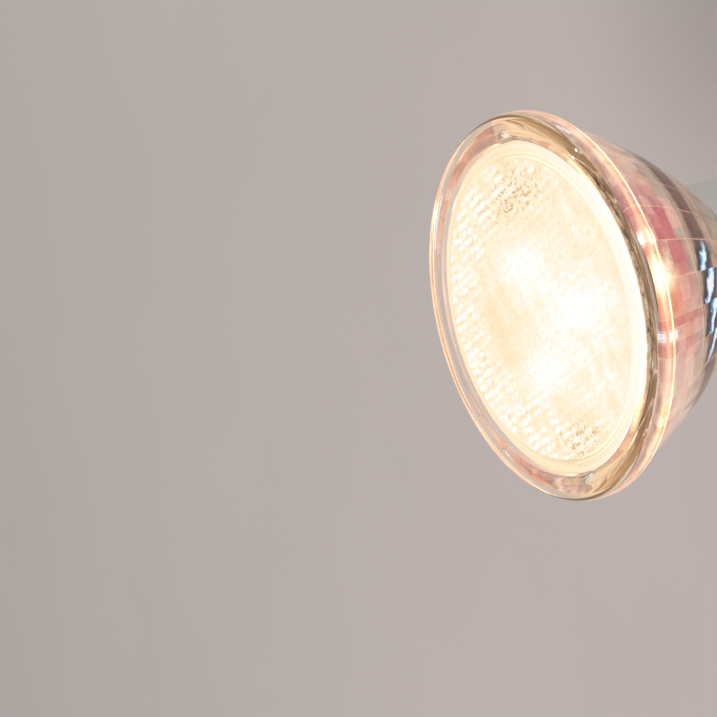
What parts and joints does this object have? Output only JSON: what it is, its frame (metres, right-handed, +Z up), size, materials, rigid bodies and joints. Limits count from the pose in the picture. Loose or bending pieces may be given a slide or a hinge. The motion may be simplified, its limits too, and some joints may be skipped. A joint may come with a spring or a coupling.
{
  "type": "gu10 spotlight bulb",
  "caption": "Reflector spotlight bulb: faceted pressed-glass cup with a flanged rim, textured front lens over light sources on a board, driver in a moulded base, twist-lock contact pins.",
  "frame": {"origin": "midway between the two contact pins, on the plane of their ends", "axes": "+Z up along the bulb's axis, out through the front lens; X through both pins"},
  "size_m": [0.05, 0.05, 0.054],
  "materials": {
    "reflector_glass": "pressed glass, smooth outside, mirror-coated facets inside",
    "lens_plastic": "clear moulding with a dimpled field, lit from behind",
    "seal_silicone": "translucent silicone",
    "board_white": "white-coated aluminium board",
    "pad_silicone": "grey gap filler",
    "spreader_aluminium": "spun, bright",
    "screw_steel": "zinc plated",
    "neck_cement": "matt, fine grained",
    "base_plastic": "fine satin moulding",
    "driver_laminate": "green solder mask",
    "can_sleeve": "aluminium can in a dark sleeve",
    "film_case": "yellow moulded case",
    "ferrite": "dark ferrite",
    "copper_wire": "enamelled copper",
    "resistor_coat": "satin coat with colour rings",
    "chip_plastic": "black moulding with tinned legs",
    "chip_film": "black film on ceramic, tinned ends",
    "chip_ceramic": "tan ceramic, tinned ends",
    "light_source": "lit phosphor under a clear dome",
    "pin_nickel": "nickel-plated brass",
    "lead_blue": "insulated wire",
    "lead_brown": "insulated wire",
    "lead_black": "insulated wire",
    "lead_red": "insulated wire"
  },
  "bodies": {
    "root": {"glass_reflector": "reflector_glass", "front_lens": "lens_plastic", "lens_seal": "seal_silicone", "led_board": "board_white", "thermal_pad": "pad_silicone", "heat_spreader": "spreader_aluminium", "board_screws": "screw_steel", "cement_ring": "neck_cement", "base_housing": "base_plastic", "driver_board": "driver_laminate", "smoothing_capacitor": "can_sleeve", "film_capacitor": "film_case", "choke_core": "ferrite", "choke_winding": "copper_wire", "fusible_resistor": "resistor_coat", "bridge_rectifier": "chip_plastic", "driver_chip": "chip_plastic", "freewheel_diode": "chip_plastic", "chip_resistors": "chip_film", "chip_capacitors": "chip_ceramic", "led_1": "light_source", "led_2": "light_source", "led_3": "light_source", "contact_pin_left": "pin_nickel", "contact_pin_right": "pin_nickel", "input_lead_left": "lead_blue", "input_lead_right": "lead_brown", "output_lead_left": "lead_black", "output_lead_right": "lead_red"}
  },
  "joints": []
}
